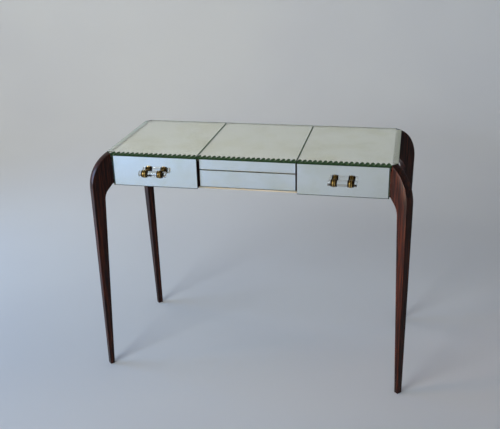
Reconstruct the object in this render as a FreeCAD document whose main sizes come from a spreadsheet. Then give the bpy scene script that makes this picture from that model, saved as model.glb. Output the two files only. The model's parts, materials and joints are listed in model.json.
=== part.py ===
import FreeCAD, Part
import math
import os
import re

import Sketcher

# Mirrored dressing table on four sabre legs, with two drawers and a lift-up lid over a centre well.
# Millimetres. X runs along the front from left to right, Y from front to back and Z up.
# The origin lies on the floor, under the middle of the table.

doc = FreeCAD.newDocument("DressingTable")
sheet = doc.addObject("Spreadsheet::Sheet", "Dims")

driving_dimensions = {
    # Mirrored top and the apron under it
    "height": 750,
    "top_width": 899,
    "top_depth": 391,
    "top_glass": 8,
    "top_board": 12,
    "apron_height": 97,
    "edge_reveal": 1.5,
    "panel_glass": 4,
    "side_panel": 14,
    "back_panel": 12,
    "divider": 16,
    # Ground flutes along the edge of the top
    "flute_pitch": 15.2,
    "flute_depth": 4,
    "flute_angle": 12.5,
    "flute_land": 0.6,
    "flute_facets": 12,
    # Sabre legs, set across the corners
    "leg_thickness": 26.5,
    "front_foot_reach": 60.5,
    "front_leg_lean": -0.45,
    "back_left_foot_reach": 19.5,
    "back_left_leg_lean": 3.2,
    "back_right_foot_reach": 48,
    "back_right_leg_lean": 0.7,
    "leg_head": 55,
    "leg_heel": 5,
    "leg_top_drop": 1,
    "leg_shoulder": 115,
    "leg_throat": 45,
    "leg_throat_angle": 45,
    "leg_taper_angle": 2.25,
    "leg_taper_top": 590,
    "foot_width": 15,
    "foot_thickness": 18,
    "clip_gap": 0.4,
    # Centre well and its lid
    "lid_width": 304,
    "lid_height": 36,
    "lid_gap": 0.6,
    "lid_panel": 8,
    "lid_rail": 16,
    "lid_back_rail": 30,
    "seam_gap": 3,
    "vanity_gap": 0.5,
    "vanity_bead": 8,
    "fascia_recess": 10,
    "fascia_rail": 16,
    "fascia_line": 3,
    "fascia_inset": 3.5,
    "fascia_bevel": 5,
    "fascia_bevel_depth": 1.2,
    "well_floor": 5,
    "well_back_rail": 30,
    "well_back_rail_height": 16,
    # Butt hinges and the bevelled heel that stops the lid
    "hinge_length": 50,
    "hinge_leaf": 22,
    "hinge_plate": 1.4,
    "hinge_inset": 45,
    "hinge_clearance": 0.4,
    "knuckle_radius": 2.6,
    "knuckle_gap": 0.3,
    "pin_radius": 1.25,
    "pin_fit": 0.05,
    "heel_run": 10,
    "heel_angle": 50.5,
    # Drawers and their runners
    "drawer_front": 14,
    "drawer_front_gap": 0.5,
    "drawer_head_gap": 1,
    "drawer_end_gap": 0.8,
    "drawer_back_gap": 15,
    "drawer_side": 10,
    "drawer_side_height": 68,
    "drawer_back": 10,
    "drawer_floor": 4,
    "drawer_floor_inset": 8,
    "drawer_groove": 5,
    "drawer_play": 0.8,
    "drawer_lift": 0.2,
    "runner_height": 12,
    "runner_ledge": 14,
    "runner_gap": 0.5,
    # Glass rod pulls in brass collars
    "rod_radius": 9,
    "rod_length": 86,
    "rod_standoff": 17.5,
    "rod_fit": 0.1,
    "collar_radius": 12.25,
    "collar_end_radius": 11.4,
    "collar_length": 18.5,
    "collar_band": 11,
    "collar_spacing": 49,
    "stem_radius": 4,
    "stem_fit": 0.2,
    "nut_radius": 6,
    "nut_height": 4,
}

for row, (alias, value) in enumerate(driving_dimensions.items(), start=1):
    sheet.set(f"A{row}", alias)
    sheet.set(f"B{row}", str(value))
    sheet.setAlias(f"B{row}", alias)
doc.recompute()


def cells(expression):
    """Point each dimension named in an expression at its cell."""

    def point(word):
        return f"Dims.{word[0]}" if word[0] in driving_dimensions else word[0]

    return re.sub(r"[a-z_]+", point, expression)


def number(expression):
    return float(sheet.evalExpression(cells(expression)))


# Planes and lines that several pieces share
half_width = "(top_width / 2)"
half_depth = "(top_depth / 2)"
glass_under = "(height - top_glass)"
board_under = f"({glass_under} - top_board)"
apron_under = f"({glass_under} - apron_height)"
lid_under = f"({glass_under} - lid_height)"
well_top = f"({lid_under} - lid_gap)"
panel_under = f"({glass_under} - lid_panel)"
front_face = f"(edge_reveal - {half_depth})"
front_board = f"({front_face} + panel_glass)"
front_board_back = f"({front_board} + drawer_front)"
carcass_front = f"({front_board_back} + drawer_front_gap)"
carcass_back = f"({half_depth} - edge_reveal)"
back_inside = f"({carcass_back} - back_panel)"
fascia_face = f"({front_face} + fascia_recess)"
fascia_board = f"({fascia_face} + panel_glass)"
fascia_back = f"({fascia_board} + fascia_rail)"
side_face = f"({half_width} - edge_reveal)"
side_board = f"({side_face} - panel_glass)"
side_inside = f"({side_board} - side_panel)"
lid_end = "(lid_width / 2)"
well_end = f"({lid_end} + seam_gap / 2)"
seam_edge = f"({lid_end} + seam_gap)"
divider_outside = f"({well_end} + divider)"

# A leg stands in the diagonal plane of its corner and its faces lie half its thickness to each side.
# In plan they cut the edges of the top this far from the corner.
leg_clip = "(leg_thickness * sqrt(0.5))"
head_corner = "((leg_head + leg_thickness / 2) * sqrt(0.5))"


def board(name, size, place):
    """A squared board: its length, depth and height, and its lowest corner."""
    piece = doc.addObject("Part::Box", name)
    for side, expression in zip(("Length", "Width", "Height"), size):
        piece.setExpression(side, cells(expression))
    set_place(piece, place)
    return piece


def set_place(piece, place):
    for letter, expression in zip("xyz", place):
        piece.setExpression(f"Placement.Base.{letter}", cells(expression))


def span(low, high):
    return f"({high} - ({low}))"


def board_between(name, x_span, y_span, z_span):
    size = [span(low, high) for low, high in (x_span, y_span, z_span)]
    return board(name, size, [x_span[0], y_span[0], z_span[0]])


axis_turns = {
    "x": FreeCAD.Rotation(FreeCAD.Vector(0, 1, 0), 90),
    "y": FreeCAD.Rotation(FreeCAD.Vector(1, 0, 0), -90),
}


def rod(name, axis, radius, length, place):
    """A round bar along X or Y from its start."""
    piece = doc.addObject("Part::Cylinder", name)
    piece.setExpression("Radius", cells(radius))
    piece.setExpression("Height", cells(length))
    piece.Placement = FreeCAD.Placement(FreeCAD.Vector(), axis_turns[axis])
    set_place(piece, place)
    return piece


def gather(kind, name, pieces):
    whole = doc.addObject(kind, name)
    if kind == "Part::Compound":
        whole.Links = pieces
    else:
        whole.Shapes = pieces
    return whole


def cut(name, base, tools):
    piece = doc.addObject("Part::Cut", name)
    piece.Base = base
    piece.Tool = tools[0] if len(tools) == 1 else gather("Part::MultiFuse", f"{name}_tools", tools)
    return piece


def mirrored(name, source):
    """The same piece on the other side of the table."""
    piece = doc.addObject("Part::Mirroring", name)
    piece.Source = source
    piece.Normal = FreeCAD.Vector(1, 0, 0)
    return piece


def origin_feature(body, role):
    return next(feature for feature in body.Origin.OriginFeatures if feature.Role == role)


def new_sketch(body, role, name):
    sketch = body.newObject("Sketcher::SketchObject", name)
    sketch.AttachmentSupport = [(origin_feature(body, role), "")]
    sketch.MapMode = "FlatFace"
    return sketch


def hold(sketch, kind, geometry, expression):
    """Drive one constraint of a sketch from the sheet."""
    value = number(expression)
    if kind == "Angle":
        value = math.radians(value)
    index = sketch.addConstraint(Sketcher.Constraint(kind, *geometry, value))
    sketch.setExpression(f"Constraints[{index}]", cells(expression))


def hold_point(sketch, line, end, across=None, up=None):
    if across:
        hold(sketch, "DistanceX", (-1, 1, line, end), across)
    if up:
        hold(sketch, "DistanceY", (-1, 1, line, end), up)


def add_outline(sketch, corners):
    """A closed outline of straight lines with every corner held."""
    points = [FreeCAD.Vector(number(across), number(up), 0) for across, up in corners]
    count = len(points)
    first = sketch.GeometryCount
    for index in range(count):
        sketch.addGeometry(Part.LineSegment(points[index], points[(index + 1) % count]))
    for index in range(count):
        following = first + (index + 1) % count
        sketch.addConstraint(Sketcher.Constraint("Coincident", first + index, 2, following, 1))
    for index, (across, up) in enumerate(corners):
        hold_point(sketch, first + index, 1, across, up)


def pad(body, sketch, length, symmetric=False):
    feature = body.newObject("PartDesign::Pad", "Pad")
    feature.Profile = sketch
    feature.setExpression("Length", cells(length))
    feature.Midplane = symmetric
    return feature


def plan_board(name, corners, low, thickness):
    """A board sawn to an outline in plan."""
    body = doc.addObject("PartDesign::Body", name)
    sketch = new_sketch(body, "XY_Plane", f"{name}_plan")
    add_outline(sketch, corners)
    pad(body, sketch, thickness)
    set_place(body, ("0", "0", low))
    return body


def flute_row(body, edge, start, length, along, turn_axis, turn):
    """Grind a row of thumb flutes into the top edge: one leaning cutter, repeated along the edge."""
    count = f"round({length} / flute_pitch)"
    pitch = f"({length} / {count})"
    width = f"({pitch} - flute_land)"
    radius = f"(({width} ^ 2 / 4 + flute_depth ^ 2) / (2 * flute_depth))"
    run = "(flute_depth / tan(flute_angle))"
    lead = "flute_depth"
    cutter = body.newObject("PartDesign::SubtractivePrism", "Flute")
    cutter.setExpression("Polygon", cells("flute_facets"))
    cutter.setExpression("Circumradius", cells(radius))
    cutter.setExpression("Height", cells(f"({run} + 2 * {lead}) / cos(flute_angle)"))
    cutter.Placement = FreeCAD.Placement(FreeCAD.Vector(), FreeCAD.Rotation(FreeCAD.Vector(*turn_axis), turn))
    cutter.setExpression("Placement.Rotation.Angle", cells(f"{'-' if turn < 0 else ''}(90 - flute_angle)"))
    across = "y" if along == "x" else "x"
    cutter.setExpression(f"Placement.Base.{along}", cells(f"{start} + {pitch} / 2"))
    cutter.setExpression(f"Placement.Base.{across}", cells(f"{edge} - {lead}"))
    depth_at_start = f"(flute_depth + {lead} * tan(flute_angle))"
    rise = f"top_glass - {depth_at_start} + {radius} / cos(flute_angle)"
    cutter.setExpression("Placement.Base.z", cells(rise))
    row = body.newObject("PartDesign::LinearPattern", "Flutes")
    row.Originals = [cutter]
    row.Direction = (origin_feature(body, f"{along.upper()}_Axis"), [""])
    row.setExpression("Length", cells(f"{length} - {pitch}"))
    row.setExpression("Occurrences", cells(count))
    body.Tip = row


def front_flutes(body, start, length):
    flute_row(body, f"-{half_depth}", start, length, "x", (1, 0, 0), -1)


def make_leg(name, flip, reach, lean):
    """A sabre leg: sawn to its curved profile, then tapered in thickness towards the foot."""
    body = doc.addObject("PartDesign::Body", name)
    flat = "(leg_thickness / 2)"
    heel = f"({apron_under} + leg_heel)"
    crown = "(height - leg_top_drop)"
    inner_foot = f"({reach} - foot_width)"
    inner_angle = f"leg_taper_angle - {lean}"

    # Where the two arcs of the profile lie, for the sketch to start from
    shoulder = number("leg_shoulder")
    throat = number("leg_throat")
    throat_turn = math.radians(number("leg_throat_angle"))
    taper = math.radians(number(inner_angle))
    outer_lean = math.radians(number(lean))
    foot_out = FreeCAD.Vector(number(reach), 0, 0)
    step_high = FreeCAD.Vector(-number(flat), number(crown), 0)
    along_outer = FreeCAD.Vector(math.sin(outer_lean), math.cos(outer_lean), 0)
    across_outer = FreeCAD.Vector(math.cos(outer_lean), -math.sin(outer_lean), 0)
    to_foot = foot_out - across_outer * shoulder - step_high
    along = to_foot.dot(along_outer)
    outer_length = -along - math.sqrt(along ** 2 - to_foot.dot(to_foot) + shoulder ** 2)
    shoulder_end = foot_out + along_outer * outer_length
    shoulder_centre = shoulder_end - across_outer * shoulder
    to_step = step_high - shoulder_centre
    shoulder_turn = math.atan2(to_step.y, to_step.x)
    across_slope = FreeCAD.Vector(-math.sin(throat_turn), -math.cos(throat_turn), 0)
    corner = FreeCAD.Vector(-number(flat), number(heel), 0)
    foot = FreeCAD.Vector(number(inner_foot), 0, 0)
    across_taper = FreeCAD.Vector(-math.cos(taper), -math.sin(taper), 0)
    slope_offset = corner.dot(across_slope) + throat
    taper_offset = foot.dot(across_taper) + throat
    determinant = across_slope.x * across_taper.y - across_slope.y * across_taper.x
    throat_x = (slope_offset * across_taper.y - across_slope.y * taper_offset) / determinant
    throat_z = (across_slope.x * taper_offset - slope_offset * across_taper.x) / determinant
    throat_centre = FreeCAD.Vector(throat_x, throat_z, 0)
    up = FreeCAD.Vector(0, 0, 1)

    profile = new_sketch(body, "XZ_Plane", f"{name}_profile")
    head_low = FreeCAD.Vector(-number("leg_head"), number(heel), 0)
    head_high = FreeCAD.Vector(-number("leg_head"), number(board_under), 0)
    step_low = FreeCAD.Vector(-number(flat), number(board_under), 0)
    throat_high = throat_centre - across_slope * throat
    throat_low = throat_centre - across_taper * throat
    head_base, brow, throat_arc, inner, sole, outer, shoulder_arc, step, ledge, head_end = range(10)
    for shape in (
        Part.LineSegment(head_low, corner),
        Part.LineSegment(corner, throat_high),
        Part.ArcOfCircle(Part.Circle(throat_centre, up, throat), taper, math.pi / 2 - throat_turn),
        Part.LineSegment(throat_low, foot),
        Part.LineSegment(foot, foot_out),
        Part.LineSegment(foot_out, shoulder_end),
        Part.ArcOfCircle(Part.Circle(shoulder_centre, up, shoulder), -outer_lean, shoulder_turn),
        Part.LineSegment(step_high, step_low),
        Part.LineSegment(step_low, head_high),
        Part.LineSegment(head_high, head_low),
    ):
        profile.addGeometry(shape)
    joins = (
        ("Coincident", head_base, 2, brow, 1),
        ("Tangent", brow, 2, throat_arc, 2),
        ("Tangent", throat_arc, 1, inner, 1),
        ("Coincident", inner, 2, sole, 1),
        ("Coincident", sole, 2, outer, 1),
        ("Tangent", outer, 2, shoulder_arc, 1),
        ("Coincident", shoulder_arc, 2, step, 1),
        ("Coincident", step, 2, ledge, 1),
        ("Coincident", ledge, 2, head_end, 1),
        ("Coincident", head_end, 2, head_base, 1),
    )
    for join in joins:
        profile.addConstraint(Sketcher.Constraint(*join))
    for line in (head_base, sole, ledge):
        profile.addConstraint(Sketcher.Constraint("Horizontal", line))
    for line in (step, head_end):
        profile.addConstraint(Sketcher.Constraint("Vertical", line))
    hold_point(profile, head_base, 1, "-leg_head", heel)
    hold_point(profile, brow, 1, f"-{flat}")
    hold_point(profile, sole, 1, inner_foot, "0")
    hold_point(profile, outer, 1, reach)
    hold_point(profile, step, 1, f"-{flat}", crown)
    hold_point(profile, ledge, 1, None, board_under)
    hold(profile, "Angle", (brow,), "-leg_throat_angle")
    hold(profile, "Angle", (inner,), f"{inner_angle} - 90")
    hold(profile, "Angle", (outer,), f"90 - {lean}")
    hold(profile, "Radius", (throat_arc,), "leg_throat")
    hold(profile, "Radius", (shoulder_arc,), "leg_shoulder")
    pad(body, profile, "leg_thickness", symmetric=True)

    wedges = new_sketch(body, "YZ_Plane", f"{name}_wedges")
    for sign in ("", "-"):
        thick = f"{sign}leg_thickness / 2"
        thin = f"{sign}foot_thickness / 2"
        add_outline(wedges, [(thin, "0"), (thick, "0"), (thick, "leg_taper_top")])
    taper_cut = body.newObject("PartDesign::Pocket", "Taper")
    taper_cut.Profile = wedges
    taper_cut.Type = "ThroughAll"
    taper_cut.Midplane = True

    side, end = flip
    turn = math.degrees(math.atan2(end, side))
    body.Placement = FreeCAD.Placement(FreeCAD.Vector(), FreeCAD.Rotation(up, turn))
    set_place(body, (f"{side} * {half_width}", f"{end} * {half_depth}", "0"))
    return body


nodes = []


def node(piece, name):
    piece.Label = name
    nodes.append(piece)
    return piece


def pair(piece, name):
    """File a left-hand piece and its right-hand twin."""
    node(piece, f"left_{name}")
    node(mirrored(f"right_{name}", piece), f"right_{name}")
    return piece


# Legs
for end_name, end in (("front", -1), ("back", 1)):
    for side_name, side in (("left", -1), ("right", 1)):
        label = f"{end_name}_{side_name}_leg"
        stance = "front" if end < 0 else f"back_{side_name}"
        foot_reach = f"{stance}_foot_reach"
        lean = f"{stance}_leg_lean"
        node(make_leg(f"{label}_body", (side, end), foot_reach, lean), label)


def leg_side(offset):
    """How far along an edge a leg's face lies, for a line that stands this far in from that edge."""
    return f"({leg_clip} + {offset})"


# Carcass: side panels, back panel, dividers and top boards
def side_outline(near, far, gap):
    """A board along the left end, mitred along the faces of both legs."""
    ends = [(plane, leg_side(f"({half_width} - {plane}) + {gap}")) for plane in (near, far)]
    front = [(f"-{across}", f"{along} - {half_depth}") for across, along in ends]
    back = [(f"-{across}", f"{half_depth} - {along}") for across, along in reversed(ends)]
    return front + back


apron_rise = span(apron_under, board_under)
front_high = f"({glass_under} - drawer_head_gap)"
front_rise = span(apron_under, front_high)
side_corners = side_outline(side_board, side_inside, "0")
pair(plan_board("side_board", side_corners, apron_under, apron_rise), "side_panel")
glass_corners = side_outline(side_face, side_board, "drawer_end_gap")
pair(plan_board("side_glass", glass_corners, apron_under, front_rise), "side_mirror")

back_ends = []
for plane in (back_inside, carcass_back):
    back_ends.append((f"{half_width} - {leg_side(f'({half_depth} - {plane})')}", plane))
back_corners = [(f"-({across})", up) for across, up in back_ends] + back_ends[::-1]
back_blank = plan_board("back_blank", back_corners, apron_under, apron_rise)
lid_notch = board_between(
    "lid_notch",
    (f"-{well_end}", well_end),
    (f"{back_inside} - back_panel", f"{carcass_back} + back_panel"),
    (well_top, f"{board_under} + top_board"),
)

divider_board = board_between(
    "divider_board",
    (f"-{divider_outside}", f"-{well_end}"),
    (carcass_front, back_inside),
    (apron_under, board_under),
)
pair(divider_board, "divider")

clip = f"({leg_clip} + clip_gap * sqrt(2))"
top_board_corners = [
    (f"-{side_board}", carcass_front),
    (f"-{well_end}", carcass_front),
    (f"-{well_end}", carcass_back),
    (f"-({half_width} - {clip} + edge_reveal)", carcass_back),
    (f"-{side_board}", f"{half_depth} - {clip} + ({half_width} - {side_board})"),
]
pair(plan_board("top_board", top_board_corners, board_under, "top_board"), "top_board")

# Mirrored top with its ground flutes
top_corners = [
    (f"{clip} - {half_width}", f"-{half_depth}"),
    (f"-{seam_edge}", f"-{half_depth}"),
    (f"-{seam_edge}", half_depth),
    (f"{clip} - {half_width}", half_depth),
    (f"-{half_width}", f"{half_depth} - {clip}"),
    (f"-{half_width}", f"{clip} - {half_depth}"),
]
top_glass = plan_board("top_mirror", top_corners, glass_under, "top_glass")
front_flutes(top_glass, f"({clip} - {half_width})", f"({half_width} - {clip} - {seam_edge})")
side_run = f"(top_depth - 2 * {clip})"
flute_row(top_glass, f"-{half_width}", f"({clip} - {half_depth})", side_run, "y", (0, 1, 0), 1)
pair(top_glass, "top_mirror")

# Centre well
node(
    board_between(
        "well_bottom",
        (f"-{well_end}", well_end),
        (fascia_face, back_inside),
        (apron_under, f"{apron_under} + well_floor"),
    ),
    "well_bottom",
)
well_floor_top = f"({apron_under} + well_floor)"
node(
    board_between(
        "well_front_rail",
        (f"-{well_end}", well_end),
        (fascia_board, fascia_back),
        (well_floor_top, well_top),
    ),
    "well_front_rail",
)


def fascia_strip(name, low, high):
    """A mirror strip across the centre, bevelled at both ends."""
    strip_end = f"({lid_end} - fascia_inset)"
    right_half = [
        (f"({strip_end} - fascia_bevel)", fascia_face),
        (strip_end, f"{fascia_face} + fascia_bevel_depth"),
        (strip_end, fascia_board),
    ]
    left_half = [(f"-{across}", up) for across, up in reversed(right_half)]
    return plan_board(name, right_half + left_half, low, span(low, high))


fascia_split = f"({lid_under} - fascia_line)"
node(fascia_strip("well_front_strip", well_floor_top, fascia_split), "well_front_mirror")

# The lid turns on a line at the height of the parting, a short way in from the back.
# Behind that line both edges are bevelled, and the bevels meet when the lid is fully open.
axis_y = f"({carcass_back} - heel_run)"
axis_z = f"({lid_under} - lid_gap / 2)"
heel_drop = "(heel_run * tan(heel_angle))"


def heel_cutter(name, sign):
    """The wedge that bevels an edge behind the hinge line, below it or above it."""
    body = doc.addObject("PartDesign::Body", name)
    sketch = new_sketch(body, "YZ_Plane", f"{name}_section")
    far_y = f"({axis_y} + 2 * heel_run)"
    far_z = f"({axis_z} {sign} 2 * {heel_drop})"
    add_outline(sketch, [(axis_y, axis_z), (far_y, axis_z), (far_y, far_z)])
    pad(body, sketch, f"2 * {divider_outside}", symmetric=True)
    return body


hinge_start = f"({lid_end} - hinge_inset - hinge_length)"
hinge_slack_start = f"({hinge_start} - hinge_clearance)"
hinge_slack_length = "(hinge_length + 2 * hinge_clearance)"
leaf_front = f"({axis_y} - hinge_leaf)"
fixed_top = well_top
fixed_low = f"({fixed_top} - hinge_plate)"
moving_low = lid_under
moving_top = f"({moving_low} + hinge_plate)"


def hinge_mortises(name, low, high):
    """Recesses for both hinges: a flat one for each leaf and a round one for its knuckles."""
    tools = []
    flat_depth = (f"{leaf_front} - hinge_clearance", axis_y)
    left_start = f"(-{hinge_slack_start} - {hinge_slack_length})"
    for side, start in (("left", left_start), ("right", hinge_slack_start)):
        end = f"{start} + {hinge_slack_length}"
        tools.append(board_between(f"{name}_{side}_flat", (start, end), flat_depth, (low, high)))
        tools.append(
            rod(
                f"{name}_{side}_round",
                "x",
                "knuckle_radius + hinge_clearance",
                hinge_slack_length,
                (start, axis_y, axis_z),
            )
        )
    return tools


back_rail_blank = board_between(
    "well_back_rail_blank",
    (f"-{well_end}", well_end),
    (f"{back_inside} - well_back_rail", back_inside),
    (f"{well_top} - well_back_rail_height", well_top),
)
rail_tools = hinge_mortises("rail_mortise", fixed_low, fixed_top)
node(cut("hinge_rail", back_rail_blank, rail_tools), "well_back_rail")
back_tools = [lid_notch, heel_cutter("back_heel", "-")] + hinge_mortises("back_mortise", fixed_low, fixed_top)
node(cut("back_board", back_blank, back_tools), "back_panel")

# Lid: a glued frame under a panel, mirrored above, in front and underneath
lid_glass = plan_board(
    "lid_glass",
    [
        (f"-{lid_end}", f"-{half_depth}"),
        (lid_end, f"-{half_depth}"),
        (lid_end, half_depth),
        (f"-{lid_end}", half_depth),
    ],
    glass_under,
    "top_glass",
)
front_flutes(lid_glass, f"(-{lid_end})", "lid_width")
node(lid_glass, "lid_top_mirror")
lid_span = (f"-{lid_end}", lid_end)
rail_span = (lid_under, panel_under)
panel_span = (panel_under, glass_under)
node(board_between("lid_board", lid_span, (fascia_board, carcass_back), panel_span), "lid_panel")
lid_front_back = f"({fascia_board} + lid_rail)"
lid_back_front = f"({carcass_back} - lid_back_rail)"
node(board_between("lid_front_rail", lid_span, (fascia_board, lid_front_back), rail_span), "lid_front_rail")
lid_side_inside = f"({lid_end} - lid_rail)"
lid_side = board_between(
    "lid_side_rail", (f"-{lid_end}", f"-{lid_side_inside}"), (lid_front_back, lid_back_front), rail_span
)
node(lid_side, "lid_left_rail")
node(mirrored("lid_side_rail_twin", lid_side), "lid_right_rail")
lid_back_blank = board_between("lid_back_blank", lid_span, (lid_back_front, carcass_back), rail_span)
lid_tools = [heel_cutter("lid_heel", "+")] + hinge_mortises("lid_mortise", moving_low, moving_top)
node(cut("lid_back_board", lid_back_blank, lid_tools), "lid_back_rail")
node(fascia_strip("lid_front_strip", lid_under, front_high), "lid_front_mirror")
vanity_end = f"({lid_side_inside} - vanity_gap)"
vanity_front = f"({lid_front_back} + vanity_gap)"
vanity_back = f"({lid_back_front} - vanity_gap)"
vanity_under = f"({panel_under} - panel_glass)"
node(
    board_between(
        "vanity_glass",
        (f"-{vanity_end}", vanity_end),
        (vanity_front, vanity_back),
        (vanity_under, panel_under),
    ),
    "vanity_mirror",
)
bead_span = (f"{vanity_under} - vanity_bead", vanity_under)
bead_front_back = f"({lid_front_back} + vanity_bead)"
bead_back_front = f"({lid_back_front} - vanity_bead)"
bead_cross = (f"-{lid_side_inside}", lid_side_inside)
side_bead = board_between(
    "side_bead",
    (f"-{lid_side_inside}", f"vanity_bead - {lid_side_inside}"),
    (bead_front_back, bead_back_front),
    bead_span,
)
beads = [
    board_between("front_bead", bead_cross, (lid_front_back, bead_front_back), bead_span),
    board_between("back_bead", bead_cross, (bead_back_front, lid_back_front), bead_span),
    side_bead,
    mirrored("side_bead_twin", side_bead),
]
node(gather("Part::Compound", "vanity_beads", beads), "vanity_mirror_beads")

# Hinges: the fixed leaf carries the two end knuckles, the moving leaf the middle one
knuckle = "(hinge_length / 3)"


def hinge_leaf(name, low, high, knuckles):
    plate_back = f"({axis_y} - knuckle_radius - hinge_clearance)"
    left_start = f"(-{hinge_start} - hinge_length)"
    left_end = f"({left_start} + hinge_length)"
    solids = [board_between(f"{name}_plate", (left_start, left_end), (leaf_front, plate_back), (low, high))]
    for index in knuckles:
        first = f"{left_start} + {index} * {knuckle}" + (" + knuckle_gap / 2" if index else "")
        last = f"{left_start} + {index + 1} * {knuckle}" + (" - knuckle_gap / 2" if index < 2 else "")
        solids.append(board_between(f"{name}_tab{index}", (first, last), (plate_back, axis_y), (low, high)))
        barrel_start = (first, axis_y, axis_z)
        solids.append(rod(f"{name}_barrel{index}", "x", "knuckle_radius", span(first, last), barrel_start))
    whole = gather("Part::MultiFuse", f"{name}_blank", solids)
    bore_start = (f"{left_start} - hinge_length", axis_y, axis_z)
    pin_bore = rod(f"{name}_bore", "x", "pin_radius + pin_fit", "3 * hinge_length", bore_start)
    return cut(name, whole, [pin_bore])


pair(hinge_leaf("fixed_leaf", fixed_low, fixed_top, (0, 2)), "hinge_fixed_leaf")
pair(hinge_leaf("moving_leaf", moving_low, moving_top, (1,)), "hinge_moving_leaf")
pin_start = (f"-{hinge_start} - hinge_length", axis_y, axis_z)
pair(rod("pin", "x", "pin_radius", "hinge_length", pin_start), "hinge_pin")

# Drawers: a box behind an overlay front whose outer end is mitred along the leg
box_outside = f"({half_width} - {head_corner} - drawer_play)"
box_inside = f"({divider_outside} + drawer_play)"
box_back = f"({back_inside} - drawer_back_gap)"
runner_top = f"({apron_under} + runner_height)"
box_low = f"({runner_top} + drawer_lift)"
box_high = f"({box_low} + drawer_side_height)"
floor_low = f"({box_low} + drawer_floor_inset)"
floor_high = f"({floor_low} + drawer_floor)"
pull_z = f"(({apron_under} + {front_high}) / 2)"


def front_outline(near, far):
    """A drawer front in plan, square at the well and mitred along the leg."""
    ends = [(leg_side(f"({half_depth} + {plane}) + drawer_end_gap"), plane) for plane in (near, far)]
    outer = [(f"{along} - {half_width}", plane) for along, plane in ends]
    return outer + [(f"-{seam_edge}", far), (f"-{seam_edge}", near)]


pull_x = f"(({half_width} - {leg_side('edge_reveal + drawer_end_gap')} + {seam_edge}) / 2)"


def stem_holes(name):
    return [
        rod(
            f"{name}_{index}",
            "y",
            "stem_radius + stem_fit",
            f"{front_board_back} - {front_face} + 2 * panel_glass",
            (f"{sign} collar_spacing / 2 - {pull_x}", f"{front_face} - panel_glass", pull_z),
        )
        for index, sign in enumerate(("", "-"))
    ]


floor_outside = f"({box_outside} - drawer_side + drawer_groove)"
floor_inside = f"({box_inside} + drawer_side - drawer_groove)"
floor_front = f"({front_board_back} - drawer_groove)"


def drawer_floor(name):
    return board_between(
        name, (f"-{floor_outside}", f"-{floor_inside}"), (floor_front, box_back), (floor_low, floor_high)
    )


front_blank = plan_board("front_blank", front_outline(front_board, front_board_back), apron_under, front_rise)
front = cut("front_board", front_blank, [drawer_floor("front_groove")] + stem_holes("front_hole"))
pair(front, "drawer_front")
mirror_blank = plan_board("mirror_blank", front_outline(front_face, front_board), apron_under, front_rise)
pair(cut("drawer_glass", mirror_blank, stem_holes("glass_hole")), "drawer_mirror")
side_depth = (front_board_back, box_back)
side_rise = (box_low, box_high)
outer_span = (f"-{box_outside}", f"drawer_side - {box_outside}")
outer_blank = board_between("outer_blank", outer_span, side_depth, side_rise)
pair(cut("outer_side", outer_blank, [drawer_floor("outer_groove")]), "drawer_outer_side")
inner_span = (f"-{box_inside} - drawer_side", f"-{box_inside}")
inner_blank = board_between("inner_blank", inner_span, side_depth, side_rise)
pair(cut("inner_side", inner_blank, [drawer_floor("inner_groove")]), "drawer_inner_side")
pair(
    board_between(
        "back_of_box",
        (f"drawer_side - {box_outside}", f"-{box_inside} - drawer_side"),
        (f"{box_back} - drawer_back", box_back),
        (floor_high, box_high),
    ),
    "drawer_back",
)
pair(drawer_floor("floor_board"), "drawer_bottom")

# Runners: the outer one fills the space beside the leg heads, the inner one is a batten on the divider
ledge_outside = f"({half_width} - {head_corner} - runner_gap)"
ledge_inside = f"({ledge_outside} - runner_ledge)"
head_end = f"({half_depth} - {head_corner} - runner_gap)"
runner_corners = [
    (f"-{side_inside}", f"-{head_end}"),
    (f"-{ledge_outside}", f"-{head_end}"),
    (f"-{ledge_outside}", carcass_front),
    (f"-{ledge_inside}", carcass_front),
    (f"-{ledge_inside}", back_inside),
    (f"-{ledge_outside}", back_inside),
    (f"-{ledge_outside}", head_end),
    (f"-{side_inside}", head_end),
]
pair(plan_board("outer_ledge", runner_corners, apron_under, "runner_height"), "outer_runner")
pair(
    board_between(
        "inner_ledge",
        (f"-{divider_outside} - runner_ledge", f"-{divider_outside}"),
        (carcass_front, back_inside),
        (apron_under, runner_top),
    ),
    "inner_runner",
)

# Pulls: a glass rod held in two turned brass collars, whose stems pass through the front to a blind nut
rod_y = f"({front_face} - rod_standoff)"


def revolved(name, corners):
    """A turned piece on the X axis, from half of its section."""
    body = doc.addObject("PartDesign::Body", name)
    sketch = new_sketch(body, "XY_Plane", f"{name}_section")
    add_outline(sketch, corners)
    turned = body.newObject("PartDesign::Revolution", "Turned")
    turned.Profile = sketch
    turned.ReferenceAxis = (origin_feature(body, "X_Axis"), [""])
    turned.Angle = 360
    set_place(body, (f"-{pull_x}", rod_y, pull_z))
    return body


rod_start = (f"-{pull_x} - rod_length / 2", rod_y, pull_z)
pair(rod("glass_rod", "x", "rod_radius", "rod_length", rod_start), "pull_rod")

collar_near = "(collar_spacing / 2 - collar_length / 2)"
collar_far = "(collar_spacing / 2 + collar_length / 2)"
band_near = "(collar_spacing / 2 - collar_band / 2)"
band_far = "(collar_spacing / 2 + collar_band / 2)"
bore = "(rod_radius + rod_fit)"
collar_barrel = revolved(
    "collar_barrel",
    [
        (collar_near, bore),
        (collar_far, bore),
        (collar_far, "collar_end_radius"),
        (band_far, "collar_end_radius"),
        (band_far, "collar_radius"),
        (band_near, "collar_radius"),
        (band_near, "collar_end_radius"),
        (collar_near, "collar_end_radius"),
    ],
)
stem_x = f"collar_spacing / 2 - {pull_x}"
nut_y = front_board_back
stem_y = f"({rod_y} + ({bore} + collar_radius) / 2)"
stem = rod("stem", "y", "stem_radius", span(stem_y, nut_y), (stem_x, stem_y, pull_z))
collar = gather("Part::MultiFuse", "collar", [collar_barrel, stem])


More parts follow.
